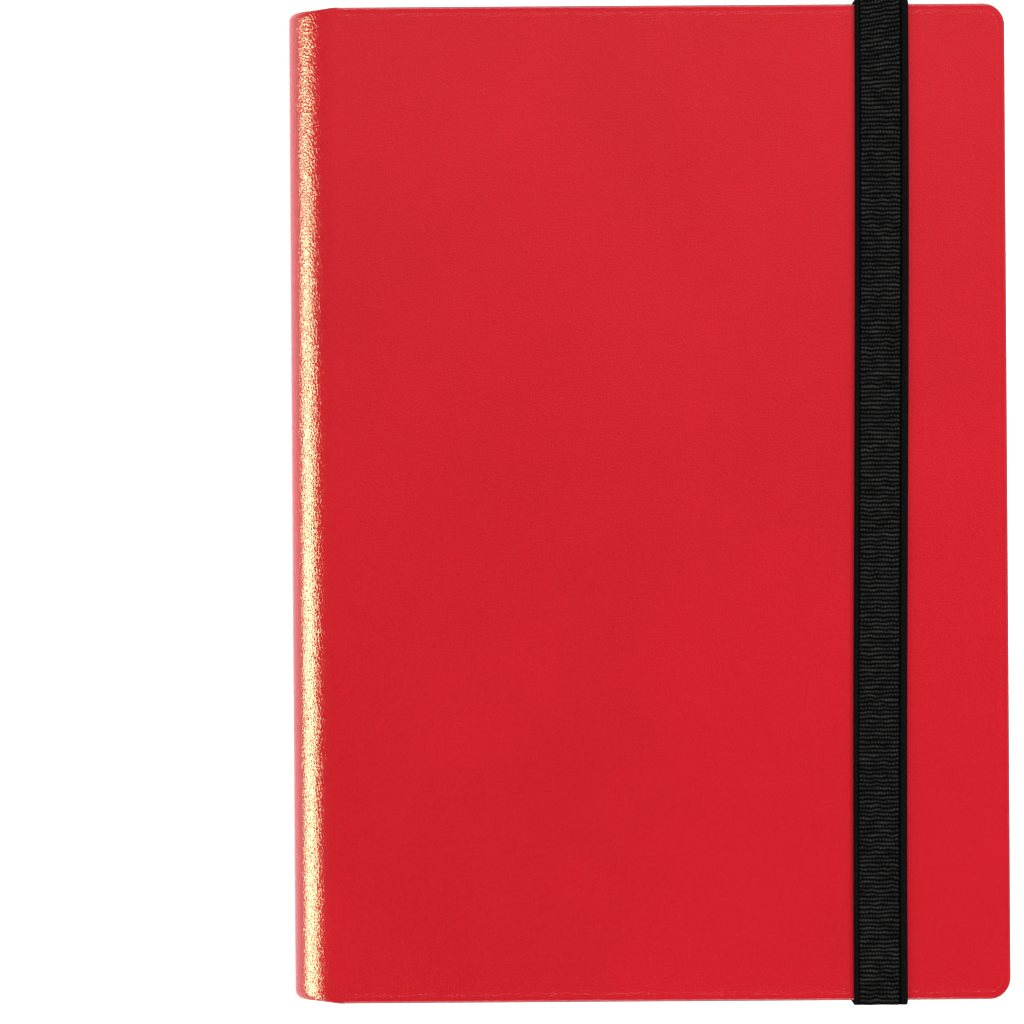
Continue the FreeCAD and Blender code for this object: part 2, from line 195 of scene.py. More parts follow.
def case_ring(y, section, layer):
    """One closed ring of a case layer at this place along the spine."""
    half = HALF_LENGTH - layer["inset"]
    corner = layer["corner"]
    to_end = half - abs(y)
    beyond = max(0.0, corner - to_end)
    fore = FORE_EDGE - layer["inset"] - corner + math.sqrt(max(0.0, corner ** 2 - beyond ** 2))
    fore = max(fore - layer["roll"], COVER_START + BOARD_STEP)
    flat_end = section[-1][0].x
    narrow = tuck(to_end, SPINE_CORNER)
    outer, inner = [], []
    for point, normal, covered in section:
        shorter = SPINE_SHORT * smooth_step((COVER_START - point.x) / (0.6 * SHOULDER_RUN))
        on_cover = point.x >= COVER_START and normal.z > 0.5
        top, thick = layer["cover"] if on_cover else layer["spine"]
        thin_top, thin = layer["crease"]
        top = thin_top + (top - thin_top) * covered
        half_thick = (thin + (thick - thin) * covered) / 2
        half_left = max(half_thick - tuck(to_end, min(layer["roll"], half_thick)), THINNEST)
        base = point.copy()
        if point.x > COVER_START:
            past = point.x - COVER_START
            base.x = COVER_START + (fore - COVER_START) * past / (flat_end - COVER_START)
        else:
            base.x = COVER_START - (COVER_START - point.x) * (1 - narrow / SHOULDER_RUN)
        base.y = y * (1 - shorter / HALF_LENGTH)
        centre = base - normal * (top + half_thick)
        drop = surface_drop(base.x, y) * covered if on_cover and layer["roughened"] else 0.0
        outer.append(centre + normal * (half_left - drop))
        inner.append(centre - normal * half_left)
    return outer + edge_cap(outer[-1], inner[-1], layer["roll"]) + list(reversed(inner))


def edge_cap(upper, lower, roll, steps=5):
    """The rounded fore edge between the last points of the upper and the lower face."""
    radius = min(roll, (upper.z - lower.z) / 2)
    cap = []
    for k in range(1, steps + 1):
        a = math.pi / 2 * k / steps
        cap.append(upper + Vector((roll * math.sin(a), 0, -radius * (1 - math.cos(a)))))
    for k in range(steps):
        a = math.pi / 2 * k / steps
        cap.append(lower + Vector((roll * math.cos(a), 0, radius * (1 - math.sin(a)))))
    return cap


def case_layer(name, side, layer):
    """One layer of the case on one side: a closed sheet round the shoulder and over the cover."""
    section = case_section(FORE_EDGE - layer["inset"] - layer["roll"])
    ys = stations(HALF_LENGTH - layer["inset"], layer["corner"], CASE_STEP)
    verts = []
    for y in ys:
        verts += case_ring(y, section, layer)
    per_ring = len(verts) // len(ys)
    faces = loft_faces(len(ys), per_ring)
    if side < 0:
        verts = [Vector((v.x, v.y, HEIGHT - v.z)) for v in verts]
    else:
        faces = [tuple(reversed(f)) for f in faces]
    return mesh_piece(name, verts, faces)


def mark_rim(piece):
    """Point attribute that is 1 on the outermost line of the skin and 0 from RIM inwards; the leatherette
    paints shade along this line.
    """
    rim = piece.data.attributes.new("rim", "FLOAT", "POINT")
    distances = [edge_distance(vertex.co.x, vertex.co.y) for vertex in piece.data.vertices]
    rim.data.foreach_set("value", [max(0.0, 1 - distance / RIM) for distance in distances])


def blend_case(piece, side):
    """Bake the placement of a layer of the case into its mesh, the same on either side."""
    if side > 0:
        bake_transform(piece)
    else:
        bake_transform(piece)


def make_case():
    """The red skin and the black lining of both covers, each wrapped round to the spine's middle."""
    skin_layer = {
        "inset": 0.0, "corner": COVER_CORNER,
        "roll": ROLL, "roughened": True,
        "cover": (0.0, COVER_DEPTH), "crease": (0.0, SKIN), "spine": (0.0, SPINE_DEPTH),
    }
    lining_layer = {
        "inset": LINING_INSET, "corner": COVER_CORNER - LINING_INSET,
        "roll": LINING / 2, "roughened": False,
        "cover": (COVER_DEPTH, LINING), "crease": (SKIN, LINING), "spine": (SPINE_DEPTH, LINING),
    }
    red = leatherette()
    black = lining_cloth()
    for side, cover in ((1, "front"), (-1, "back")):
        skin = case_layer(f"{cover}_case_skin", side, skin_layer)
        lining = case_layer(f"{cover}_case_lining", side, lining_layer)
        mark_rim(skin)
        skin.data.materials.append(red)
        lining.data.materials.append(black)
        blend_case(skin, side)
        blend_case(lining, side)
        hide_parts(f"{cover}_cover_skin", f"{cover}_crease_skin")
        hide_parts(f"{cover}_lining")
        if side > 0:
            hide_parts("spine_skin")
            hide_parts("spine_lining", "crease_linings")


# ---------------------------------------------------------------- the elastic strap
STRAP_X = (strap_low.x + strap_high.x) / 2
STRAP_WIDTH = strap_high.x - strap_low.x
STRAP_THICK = strap_high.z - HEIGHT
STRAP_BEND = 1.3 * MM
STRAP_SLANT = 1.1 * MM       # how far the strap runs off line at its ends
TONGUE = 12 * MM             # length of strap inside the back cover's edge
RIB_PITCH = 1.35 * MM
RIB_RISE = 0.26 * MM
KNOT_PITCH = 0.98 * MM       # spacing of the knots along one rib
RIB_LEAN = 0.16              # slope of the ribs across the strap at its head end
LEAN_RUN = 45 * MM
SELVEDGE = 1.7 * MM          # plain edge on the spine side
CORD = 2.5 * MM              # plain edge on the fore side, parted from the ribs by a groove
STRAP_ROWS = 4               # mesh steps to a rib
STRAP_COLUMNS = 70           # mesh steps across the strap's face
STRAP_ROUND = 0.5 * MM       # radius of the strap's long edges
TWILL_PITCH = 1.1 * MM
CORD_GROOVE = 0.32 * MM      # width of the groove beside the cord
SELVEDGE_GROOVE = 0.2 * MM
GROOVE_DEPTH = 0.8


def strap_route(steps=8):
    """Mid line of the strap in YZ: from the tail slit, over the front cover, to the head slit."""
    side = strap_high.y - STRAP_THICK / 2
    top = strap_high.z - STRAP_THICK / 2
    low = ends_low.z + STRAP_THICK / 2
    inner = HALF_LENGTH - TONGUE
    near = side - STRAP_BEND
    corners = (
        (-near, low + STRAP_BEND, 270), (-near, top - STRAP_BEND, 180),
        (near, top - STRAP_BEND, 90), (near, low + STRAP_BEND, 0),
    )
    route = [Vector((0, -inner, low))]
    for y, z, start in corners:
        for k in range(steps + 1):
            a = math.radians(start - 90 * k / steps)
            route.append(Vector((0, y + STRAP_BEND * math.cos(a), z + STRAP_BEND * math.sin(a))))
    route.append(Vector((0, inner, low)))
    return route


def walk(route, step):
    """Evenly spaced (distance, point, outward normal) along a polyline in YZ."""
    stops = []
    travelled = 0.0
    next_stop = 0.0
    for a, b in zip(route, route[1:]):
        length = (b - a).length
        along = (b - a) / length
        normal = Vector((0, -along.z, along.y))
        while next_stop <= travelled + length:
            stops.append((next_stop, a + along * (next_stop - travelled), normal))
            next_stop += step
        travelled += length
    return stops


def bell(distance, width):
    """1 at no distance, and next to nothing from twice the width."""
    return math.exp(-(distance / width) ** 2)


def ribbing(s, a, head):
    """Relief of the strap's face, 0 to 1, at distance s along it and a across from its middle.

    Near the head end, which is at distance head, the ribs lean over a little.
    """
    left = STRAP_WIDTH / 2 + a
    right = STRAP_WIDTH / 2 - a
    fine = 0.5 + 0.5 * noise.noise(Vector((a * 1900, s * 1900, 8.2)))
    if left < SELVEDGE or right < CORD:
        twill = 0.5 + 0.5 * math.cos(2 * math.pi * (s + 0.8 * a) / TWILL_PITCH)
        height = 0.10 + 0.16 * twill + 0.26 * fine
    else:
        stray = 0.30 * noise.noise(Vector((a * 420, s * 300, 4.1)))
        lean = RIB_LEAN * smooth_step(1 - (head - s) / LEAN_RUN)
        row = (s - lean * a) / RIB_PITCH + stray
        number = math.floor(row + 0.5)
        crest = 0.5 + 0.5 * math.cos(2 * math.pi * row)
        shift = 0.5 * (number % 2) + 0.7 * noise.noise(Vector((a * 260, number * 1.9, 6.4)))
        knot = 0.5 + 0.5 * math.cos(2 * math.pi * (a / KNOT_PITCH + shift))
        lump = 0.5 + 0.9 * noise.noise(Vector((a * 330, number * 2.3, 1.7)))
        height = 0.02 + crest * (0.22 + 0.42 * knot + 0.36 * lump) + 0.14 * fine
    groove = bell(right - CORD, CORD_GROOVE) + bell(left - SELVEDGE, SELVEDGE_GROOVE)
    return max(0.0, height * (1 - GROOVE_DEPTH * min(1.0, groove)))


def make_strap():
    """The whole elastic in one piece, with its weave as relief on the outer face."""
    stops = walk(strap_route(), RIB_PITCH / STRAP_ROWS)
    head = stops[-1][0] - TONGUE - HEIGHT
    verts, relief = [], []
    for s, point, normal in stops:
        slant = STRAP_SLANT * math.sin(math.pi / 2 * max(-1.0, min(1.0, point.y / HALF_LENGTH)))
        centre = point + Vector((STRAP_X + slant, 0, 0))
        for k in range(STRAP_COLUMNS + 1):
            a = -STRAP_WIDTH / 2 + STRAP_WIDTH * k / STRAP_COLUMNS
            edge = STRAP_WIDTH / 2 - abs(a)
            height = ribbing(s, a, head)
            body = (STRAP_THICK / 2 - RIB_RISE) * (1 - tuck(edge, STRAP_ROUND) / STRAP_ROUND)
            verts.append(centre + normal * (body + RIB_RISE * height) + Vector((a, 0, 0)))
            relief.append(height)
        for k in range(STRAP_COLUMNS - 4, 3, -9):
            a = -STRAP_WIDTH / 2 + STRAP_WIDTH * k / STRAP_COLUMNS
            verts.append(centre - normal * (STRAP_THICK / 2) + Vector((a, 0, 0)))
            relief.append(0.5)
    per_ring = len(verts) // len(stops)
    faces = [tuple(reversed(f)) for f in loft_faces(len(stops), per_ring)]
    strap = mesh_piece("elastic_strap", verts, faces)
    # The relief goes to the material too, where it paints shade into the gaps and highlight onto the rib
    # tops.
    tone = strap.data.attributes.new("relief", "FLOAT", "POINT")
    tone.data.foreach_set("value", relief)
    strap.data.materials.append(elastic())
    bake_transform(strap)
    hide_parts("strap_band", "strap_ends")


# ---------------------------------------------------------------- the leaves
LEAF_CORNER = 4 * MM
GRIP_ROOM = 0.1 * MM         # free height left between the gripped sheets and the binding
GUTTER_CURL = 1.7            # how early a gutter rises to its leaf: 1 is a straight slope
GUTTER_STEPS = 12
LEAF_STEPS = 12
LEAF_STEP = 14 * MM


def leaf_section(number):
    """Mid line of one sheet in XZ: gripped in the binding, fanned out, then flat."""
    low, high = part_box(f"leaf_{number:02d}_sheet")
    height = (low.z + high.z) / 2
    rank = (LEAVES + 1) / 2 - number
    pitch = (gutter_high.z - gutter_low.z) / (LEAVES - 1)
    grip_pitch = min(pitch, (binding_high.z - binding_low.z - 2 * GRIP_ROOM) / (LEAVES + 2))
    grip = MIDDLE + rank * grip_pitch
    line = [(gutter_low.x, grip), ((gutter_low.x + binding_high.x) / 2, grip)]
    for k in range(GUTTER_STEPS + 1):
        t = k / GUTTER_STEPS
        rise = 1 - (1 - t) ** GUTTER_CURL
        line.append((binding_high.x + (low.x - binding_high.x) * t, grip + (height - grip) * rise))
    return line, height, low, high


def leaf_sheet(number, material):
    """One black backing sheet with its gutter, from the binding to the fore edge."""
    line, height, low, high = leaf_section(number)
    thick = high.z - low.z
    ys = stations(high.y, LEAF_CORNER, LEAF_STEP)
    verts = []
    for y in ys:
        beyond = max(0.0, LEAF_CORNER - (high.y - abs(y)))
        fore = high.x - LEAF_CORNER + math.sqrt(max(0.0, LEAF_CORNER ** 2 - beyond ** 2))
        top = line + [(low.x + (fore - low.x) * k / LEAF_STEPS, height) for k in range(1, LEAF_STEPS + 1)]
        verts += [Vector((x, y, z + thick / 2)) for x, z in top]
        verts += [Vector((x, y, z - thick / 2)) for x, z in reversed(top)]
    faces = [tuple(reversed(f)) for f in loft_faces(len(ys), len(verts) // len(ys))]
    sheet = mesh_piece(f"leaf_{number:02d}_backing", verts, faces)
    sheet.data.materials.append(material)
    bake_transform(sheet)
    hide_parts(f"leaf_{number:02d}_sheet")
    return sheet


def set_material(node, material):
    """Give a CAD node that stays in view its proper material."""
    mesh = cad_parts[node].data
    if not mesh.materials:
        mesh.materials.append(material)
    for k in range(len(mesh.materials)):
        mesh.materials[k] = material


# ---------------------------------------------------------------- the cards and welds
CARD_CORNER = 3 * MM
PRINT_CORNER = 0.6 * MM
PRINT_RISE = 0.02 * MM       # how far the foil picture stands off the card
CARD_BORDER = 3.2 * MM
CARD_PARTS = (               # material slot, and lower and upper end, of the picture and the panel
    (1, 0.25, 1.00),
    (2, 0.00, 0.235),
)
# Two foil colours and a panel colour for each card, by (place from the spine, row from the tail).
CARD_TINTS = {
    (0, 2): ((0.75, 0.82, 0.95), (0.10, 0.25, 0.85), (0.75, 0.82, 0.90)),
    (1, 2): ((0.22, 0.09, 0.03), (0.65, 0.05, 0.03), (0.55, 0.40, 0.25)),
    (2, 2): ((0.70, 0.03, 0.05), (0.10, 0.02, 0.16), (0.60, 0.25, 0.30)),
    (0, 1): ((0.18, 0.22, 0.03), (0.03, 0.12, 0.25), (0.45, 0.50, 0.25)),
    (1, 1): ((0.85, 0.18, 0.30), (0.10, 0.40, 0.10), (0.80, 0.60, 0.60)),
    (2, 1): ((0.05, 0.25, 0.70), (0.55, 0.65, 0.06), (0.45, 0.70, 0.55)),
    (0, 0): ((0.90, 0.65, 0.05), (0.85, 0.25, 0.03), (0.85, 0.75, 0.40)),
    (1, 0): ((0.06, 0.20, 0.75), (0.25, 0.05, 0.45), (0.45, 0.55, 0.80)),
    (2, 0): ((0.35, 0.06, 0.50), (0.80, 0.20, 0.45), (0.70, 0.50, 0.75)),
}
WELD_PITCH = 2.4 * MM
WELD_RADIUS = 0.5 * MM
WELD_FROM_EDGE = 1.5 * MM


def rounded(low, high, radius, steps=5):
    """A rounded rectangle in XY between two corners, listed turning left."""
    outline = []
    corners = (
        (high[0], high[1], -1, -1), (low[0], high[1], 1, -1),
        (low[0], low[1], 1, 1), (high[0], low[1], -1, 1),
    )
    for quarter, (x, y, inward_x, inward_y) in enumerate(corners):
        for k in range(steps + 1):
            a = math.radians(90 * (quarter + k / steps))
            outline.append((x + inward_x * radius + radius * math.cos(a),
                            y + inward_y * radius + radius * math.sin(a)))
    return outline


def plate(build, outline, start, end, slot=0, tints=None):
    """Add a flat plate between two heights to the lists of a piece under construction."""
    first = len(build["verts"])
    build["verts"] += [(x, y, start) for x, y in outline] + [(x, y, end) for x, y in outline]
    build["tints"] += [tints] * (2 * len(outline))
    for face in loft_faces(2, len(outline)):
        corners = face if end > start else tuple(reversed(face))
        build["faces"].append(tuple(first + k for k in corners))
        build["slots"].append(slot)


def card_boxes(name):
    """The box of each card in a CAD node, by (place from the spine, row from the tail)."""
    low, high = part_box(name)
    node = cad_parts[name]
    groups = {}
    for vertex in node.data.vertices:
        place = node.matrix_world @ vertex.co
        column = min(2, int(3 * (place.x - low.x) / (high.x - low.x)))
        row = min(2, int(3 * (place.y - low.y) / (high.y - low.y)))
        groups.setdefault((column, row), []).append(place)
    boxes = {}
    for key, places in groups.items():
        xs = [p.x for p in places]
        ys = [p.y for p in places]
        boxes[key] = ((min(xs), min(ys)), (max(xs), max(ys)))
    return boxes


def one_card(build, low, high, back, face, tints):
    """A silver-edged card: its body, a foil picture and a paler foil panel under it."""
    rise = math.copysign(PRINT_RISE, face - back)
    plate(build, rounded(low, high, CARD_CORNER), back, face - 2 * rise, 0, tints)
    inner_low = (low[0] + CARD_BORDER, low[1] + CARD_BORDER)
    inner_high = (high[0] - CARD_BORDER, high[1] - CARD_BORDER)
    height = inner_high[1] - inner_low[1]
    for slot, start, end in CARD_PARTS:
        part_low = (inner_low[0], inner_low[1] + height * start)
        part_high = (inner_high[0], inner_low[1] + height * end)
        outline = rounded(part_low, part_high, PRINT_CORNER, 2)
        plate(build, outline, face - 2.5 * rise, face, slot, tints)


def card_set(number, facing, materials):
    """All nine cards on one face of a leaf."""
    name = f"leaf_{number:02d}_cards"
    low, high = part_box(name)
    back, face = (low.z, high.z) if facing > 0 else (high.z, low.z)
    build = {"verts": [], "faces": [], "slots": [], "tints": []}
    for key, (card_low, card_high) in sorted(card_boxes(name).items()):
        one_card(build, card_low, card_high, back, face, CARD_TINTS[key])
    cards = mesh_piece(f"leaf_{number:02d}_card_set", build["verts"], build["faces"], smooth=False)
    for material in materials:
        cards.data.materials.append(material)
    cards.data.polygons.foreach_set("material_index", build["slots"])
    for k, tint in enumerate(("tint_a", "tint_b", "tint_c")):
        colors = cards.data.attributes.new(tint, "FLOAT_COLOR", "POINT")
        colors.data.foreach_set("color", [c for tints in build["tints"] for c in (*tints[k], 1.0)])
    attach(cards, f"leaf_{number:02d}")
    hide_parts(name)


def weld_dots(number, facing, material):
    """The dotted weld along the fore edge of a page of pockets."""
    low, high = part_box(f"leaf_{number:02d}_pockets")
    face = high.z if facing > 0 else low.z
    rise = facing * PRINT_RISE
    build = {"verts": [], "faces": [], "slots": [], "tints": []}
    count = int((high.y - low.y) / WELD_PITCH) - 1
    for k in range(count):
        x = high.x - WELD_FROM_EDGE
        y = (k - (count - 1) / 2) * WELD_PITCH
        dot_low = (x - WELD_RADIUS, y - WELD_RADIUS)
        dot_high = (x + WELD_RADIUS, y + WELD_RADIUS)
        outline = rounded(dot_low, dot_high, WELD_RADIUS * 0.98, 3)
        plate(build, outline, face - rise, face + rise)
    welds = mesh_piece(f"leaf_{number:02d}_weld_dots", build["verts"], build["faces"], smooth=False)
    welds.data.materials.append(material)
    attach(welds, f"leaf_{number:02d}")


def make_cards():
    """The cards and welds on the two pages that face each other where the binder opens."""
    picture = shard_foil("picture_foil_look", "tint_a", "tint_b", 0.55, 0.35)
    panel = shard_foil("panel_foil_look", "tint_c", "tint_a", 0.35, 0.20)
    foils = (silver_foil(), picture, panel)
    weld = plain_fibre("film_weld_look", (0.32, 0.33, 0.34), (0.45, 0.46, 0.47), 2600.0, 0.35)
    for number, facing in ((LEAVES // 2, -1), (LEAVES // 2 + 1, 1)):
        card_set(number, facing, foils)
        weld_dots(number, facing, weld)


def make_leaves():
    """Every leaf's backing sheet, and the film's look on the CAD pockets."""
    black = black_sheet()
    film = clear_film()
    for number in range(1, LEAVES + 1):
        sheet = leaf_sheet(number, black)
        if number == 1:
            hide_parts("leaf_gutters")
        set_material(f"leaf_{number:02d}_pockets", film)


# ---------------------------------------------------------------- materials
def new_material(name, color, roughness, specular=0.5):
    """A material and its Principled shader."""
    material = bpy.data.materials.new(name)
    material.use_nodes = True
    shader = material.node_tree.nodes["Principled BSDF"]
    shader.inputs["Base Color"].default_value = (*color, 1)
    shader.inputs["Roughness"].default_value = roughness
    shader.inputs["Specular IOR Level"].default_value = specular
    return material, shader


def add(material, kind, **settings):
    """A shader node. Settings name its inputs, or else its own properties."""
    node = material.node_tree.nodes.new(kind)
    for key, value in settings.items():
        label = key.replace("_", " ")
        if label in node.inputs:
            node.inputs[label].default_value = value
        else:
            setattr(node, key, value)
    return node


def link(material, source, target):
    material.node_tree.links.new(source, target)


def ramp(material, source, low, high, from_low=0.0, from_high=1.0):
    """The source's range from_low to from_high mapped to low to high."""
    node = add(material, "ShaderNodeMapRange")
    ends = {"From Min": from_low, "From Max": from_high, "To Min": low, "To Max": high}
    for label, value in ends.items():
        node.inputs[label].default_value = value
    link(material, source, node.inputs["Value"])
    return node.outputs["Result"]


def blend_colors(material, factor, first, second):
    """A colour between two, each a socket or a plain colour, by a factor socket."""
    node = add(material, "ShaderNodeMix", data_type="RGBA")
    link(material, factor, node.inputs["Factor"])
    for k, color in ((6, first), (7, second)):
        if isinstance(color, tuple):
            node.inputs[k].default_value = (*color, 1)
        else:
            link(material, color, node.inputs[k])
    return node.outputs[2]


def combine(material, operation, first, second):
    """A maths node on two sockets or numbers."""
    node = add(material, "ShaderNodeMath", operation=operation)
    for k, value in enumerate((first, second)):
        if isinstance(value, (int, float)):
            node.inputs[k].default_value = value
        else:
            link(material, value, node.inputs[k])
    return node.outputs[0]


def bump(material, shader, height, strength, distance):
    """Small relief of this depth, in metres, from a height socket."""
    node = add(material, "ShaderNodeBump", Strength=strength, Distance=distance)
    link(material, height, node.inputs["Height"])
    link(material, node.outputs["Normal"], shader.inputs["Normal"])


def textures(material, *makers):
    """Texture nodes that read the object's own coordinates, in metres."""
    place = add(material, "ShaderNodeTexCoord").outputs["Object"]
    made = []
    for kind, settings in makers:
        node = add(material, kind, **settings)
        link(material, place, node.inputs["Vector"])
        made.append(node)
    return made


def leatherette():
    """Red grained leatherette: flat pebbles parted by fine creases, cloudy, with painted shade along the
    rim.
    """
    material, shader = new_material("red_leatherette_look", (0.5, 0.004, 0.012), 0.2, 0.8)
    crease, pore, cloud = textures(
        material,
        ("ShaderNodeTexVoronoi", {"feature": "DISTANCE_TO_EDGE", "Scale": 1050.0, "Randomness": 1.0}),
        ("ShaderNodeTexNoise", {"Scale": 1500.0, "Detail": 3.0}),
        ("ShaderNodeTexNoise", {"Scale": 22.0, "Detail": 4.0}),
    )
    plateau = ramp(material, crease.outputs["Distance"], 0.0, 1.0, 0.0, 0.22)
    dome = ramp(material, crease.outputs["Distance"], 0.0, 1.0, 0.0, 0.5)
    pebble = combine(material, "ADD", dome, combine(material, "MULTIPLY", plateau, 0.5))
    height = combine(material, "ADD", pebble, combine(material, "MULTIPLY", pore.outputs["Fac"], 0.5))
    bump(material, shader, height, 1.0, 0.034 * MM)
    tone = combine(material, "ADD", combine(material, "MULTIPLY", plateau, 0.25),
                   combine(material, "MULTIPLY", cloud.outputs["Fac"], 0.75))
    color = blend_colors(material, tone, (0.43, 0.0065, 0.0130), (0.55, 0.0090, 0.0190))
    # Painted shade: near the rim the base colour is pulled to a dark red line, and the roughness is
    # raised to dull the reflection there.
    rim = add(material, "ShaderNodeAttribute", attribute_name="rim").outputs["Fac"]
    turned = ramp(material, rim, 0.0, 0.95, 0.1, 0.5)
    edged = blend_colors(material, turned, color, (0.12, 0.0015, 0.0030))
    link(material, edged, shader.inputs["Base Color"])
    rim_roughness = combine(material, "MULTIPLY", ramp(material, rim, 0.0, 1.0, 0.2, 0.6), 0.55)
    link(material, combine(material, "ADD", ramp(material, pore.outputs["Fac"], 0.13, 0.21), rim_roughness),
         shader.inputs["Roughness"])
    return material


def lining_cloth():
    """Black lining: a fine plain weave."""
    material, shader = new_material("black_lining_look", (0.012, 0.012, 0.013), 0.7, 0.25)
    warp, weft, cloud = textures(
        material,
        ("ShaderNodeTexWave", {"bands_direction": "X", "Scale": 260.0, "Distortion": 0.6}),
        ("ShaderNodeTexWave", {"bands_direction": "Y", "Scale": 260.0, "Distortion": 0.6}),
        ("ShaderNodeTexNoise", {"Scale": 60.0, "Detail": 3.0}),
    )
    weave = combine(material, "MAXIMUM", warp.outputs["Fac"], weft.outputs["Fac"])
    bump(material, shader, weave, 0.4, 0.1 * MM)
    color = blend_colors(material, combine(material, "MULTIPLY", weave, cloud.outputs["Fac"]),
                         (0.008, 0.008, 0.009), (0.028, 0.028, 0.030))
    link(material, color, shader.inputs["Base Color"])
    shader.inputs["Sheen Weight"].default_value = 0.15
    return material


def elastic():
    """Black elastic: matt thread, with painted shade in the gaps and a painted highlight on the tops of
    the ribs.
    """
    material, shader = new_material("elastic_look", (0.012, 0.012, 0.012), 0.9, 0.0)
    (fuzz,) = textures(material, ("ShaderNodeTexNoise", {"Scale": 3600.0, "Detail": 2.0}))
    relief = add(material, "ShaderNodeAttribute", attribute_name="relief").outputs["Fac"]
    bump(material, shader, fuzz.outputs["Fac"], 0.5, 0.05 * MM)
    tone = combine(material, "MULTIPLY", combine(material, "POWER", relief, 1.9),
                   combine(material, "ADD", fuzz.outputs["Fac"], 0.5))
    color = blend_colors(material, tone, (0.0006, 0.0006, 0.0006), (0.039, 0.040, 0.038))
    link(material, color, shader.inputs["Base Color"])
    return material


def black_sheet():
    """Black polypropylene with a very fine matt texture."""
    material, shader = new_material("black_sheet_look", (0.010, 0.010, 0.011), 0.5, 0.4)
    grain, cloud = textures(
        material,
        ("ShaderNodeTexNoise", {"Scale": 1800.0, "Detail": 2.0}),
        ("ShaderNodeTexNoise", {"Scale": 30.0, "Detail": 2.0}),
    )
    bump(material, shader, grain.outputs["Fac"], 0.25, 0.05 * MM)
    color = blend_colors(material, cloud.outputs["Fac"], (0.007, 0.007, 0.008), (0.016, 0.016, 0.018))
    link(material, color, shader.inputs["Base Color"])
    link(material, ramp(material, cloud.outputs["Fac"], 0.42, 0.58), shader.inputs["Roughness"])
    return material


def clear_film():
    """Clear pocket film: three quarters transparent, with a slightly buckled gloss."""
    material, shader = new_material("clear_film_look", (0.03, 0.03, 0.035), 0.08, 1.0)
    (buckle,) = textures(
        material,
        ("ShaderNodeTexNoise", {"Scale": 16.0, "Detail": 1.0, "Distortion": 0.8}),
    )
    bump(material, shader, buckle.outputs["Fac"], 0.6, 2.5 * MM)
    link(material, ramp(material, buckle.outputs["Fac"], 0.05, 0.14), shader.inputs["Roughness"])
    shader.inputs["Coat Weight"].default_value = 0.4
    shader.inputs["Alpha"].default_value = 0.24
    return material


def silver_foil():
    """The silver border of a card: bright metal with a faint brushed cloud."""
    material, shader = new_material("silver_foil_look", (0.62, 0.63, 0.66), 0.32)
    (cloud,) = textures(material, ("ShaderNodeTexNoise", {"Scale": 260.0, "Detail": 3.0}))
    link(material, blend_colors(material, cloud.outputs["Fac"], (0.50, 0.51, 0.54), (0.74, 0.75, 0.78)),
         shader.inputs["Base Color"])
    shader.inputs["Metallic"].default_value = 0.7
    return material


def shard_foil(name, first, second, rainbow, metallic):
    """Card foil: shards of the card's own two colours, with pale, dark and rainbow ones between."""
    material, shader = new_material(name, (0.5, 0.5, 0.5), 0.30)
    shard, hue, edge = textures(
        material,
        ("ShaderNodeTexVoronoi", {"feature": "F1", "Scale": 165.0}),
        ("ShaderNodeTexVoronoi", {"feature": "F1", "Scale": 80.0}),
        ("ShaderNodeTexVoronoi", {"feature": "DISTANCE_TO_EDGE", "Scale": 165.0}),
    )
    parts = add(material, "ShaderNodeSeparateColor")
    link(material, shard.outputs["Color"], parts.inputs["Color"])
    tints = []
    for tint in (first, second):
        node = add(material, "ShaderNodeAttribute", attribute_name=tint)
        tints.append(node.outputs["Color"])
    color = blend_colors(material, ramp(material, parts.outputs["Red"], 0.0, 1.0, 0.35, 0.65), *tints)
    color = blend_colors(material, ramp(material, parts.outputs["Green"], 0.0, 0.9, 0.55, 0.95),
                        color, (0.88, 0.90, 0.93))
    color = blend_colors(material, ramp(material, parts.outputs["Green"], 0.85, 0.0, 0.0, 0.35),
                        color, (0.02, 0.02, 0.03))
    color = blend_colors(material, ramp(material, parts.outputs["Blue"], 0.0, rainbow, 0.6, 0.9),
                        color, hue.outputs["Color"])
    color = blend_colors(material, ramp(material, edge.outputs["Distance"], 0.5, 0.0, 0.0, 0.05),
                        color, (0.04, 0.04, 0.05))
    link(material, color, shader.inputs["Base Color"])
    shader.inputs["Metallic"].default_value = metallic
    return material


def plain_fibre(name, first, second, scale, roughness):
    """A fibrous matt material, such as board, tape or thread."""
    material, shader = new_material(name, first, roughness, 0.25)
    fibre, cloud = textures(
        material,
        ("ShaderNodeTexNoise", {"Scale": scale, "Detail": 3.0}),
        ("ShaderNodeTexNoise", {"Scale": scale / 20, "Detail": 2.0}),
    )
    bump(material, shader, fibre.outputs["Fac"], 0.4, 0.08 * MM)
    color = blend_colors(material, cloud.outputs["Fac"], first, second)
    link(material, color, shader.inputs["Base Color"])
    return material


def finish_cad_nodes():
    """Materials for the CAD nodes that show as they are."""
    board = plain_fibre("board_look", (0.30, 0.27, 0.22), (0.42, 0.39, 0.33), 1200.0, 0.9)
    tape = plain_fibre("binding_tape_look", (0.010, 0.010, 0.011), (0.030, 0.030, 0.032), 2200.0, 0.8)
    thread = plain_fibre("thread_look", (0.02, 0.02, 0.02), (0.05, 0.05, 0.05), 3000.0, 0.7)
    for node in ("front_board", "back_board", "spine_board"):
        set_material(node, board)
    set_material("binding_strip", tape)
    set_material("binding_stitches", thread)


# ---------------------------------------------------------------- camera, floor and light
CAMERA_RISE = 1.1            # metres from the front cover to the camera
VIEW_WIDTH = 0.3267          # metres of the front cover's plane across the frame
CAMERA_TURN = math.radians(0.38)
CAMERA_ASIDE = 43.7 * MM     # how far the camera stands towards the spine
CAMERA_BELOW = 2.7 * MM      # and towards the tail


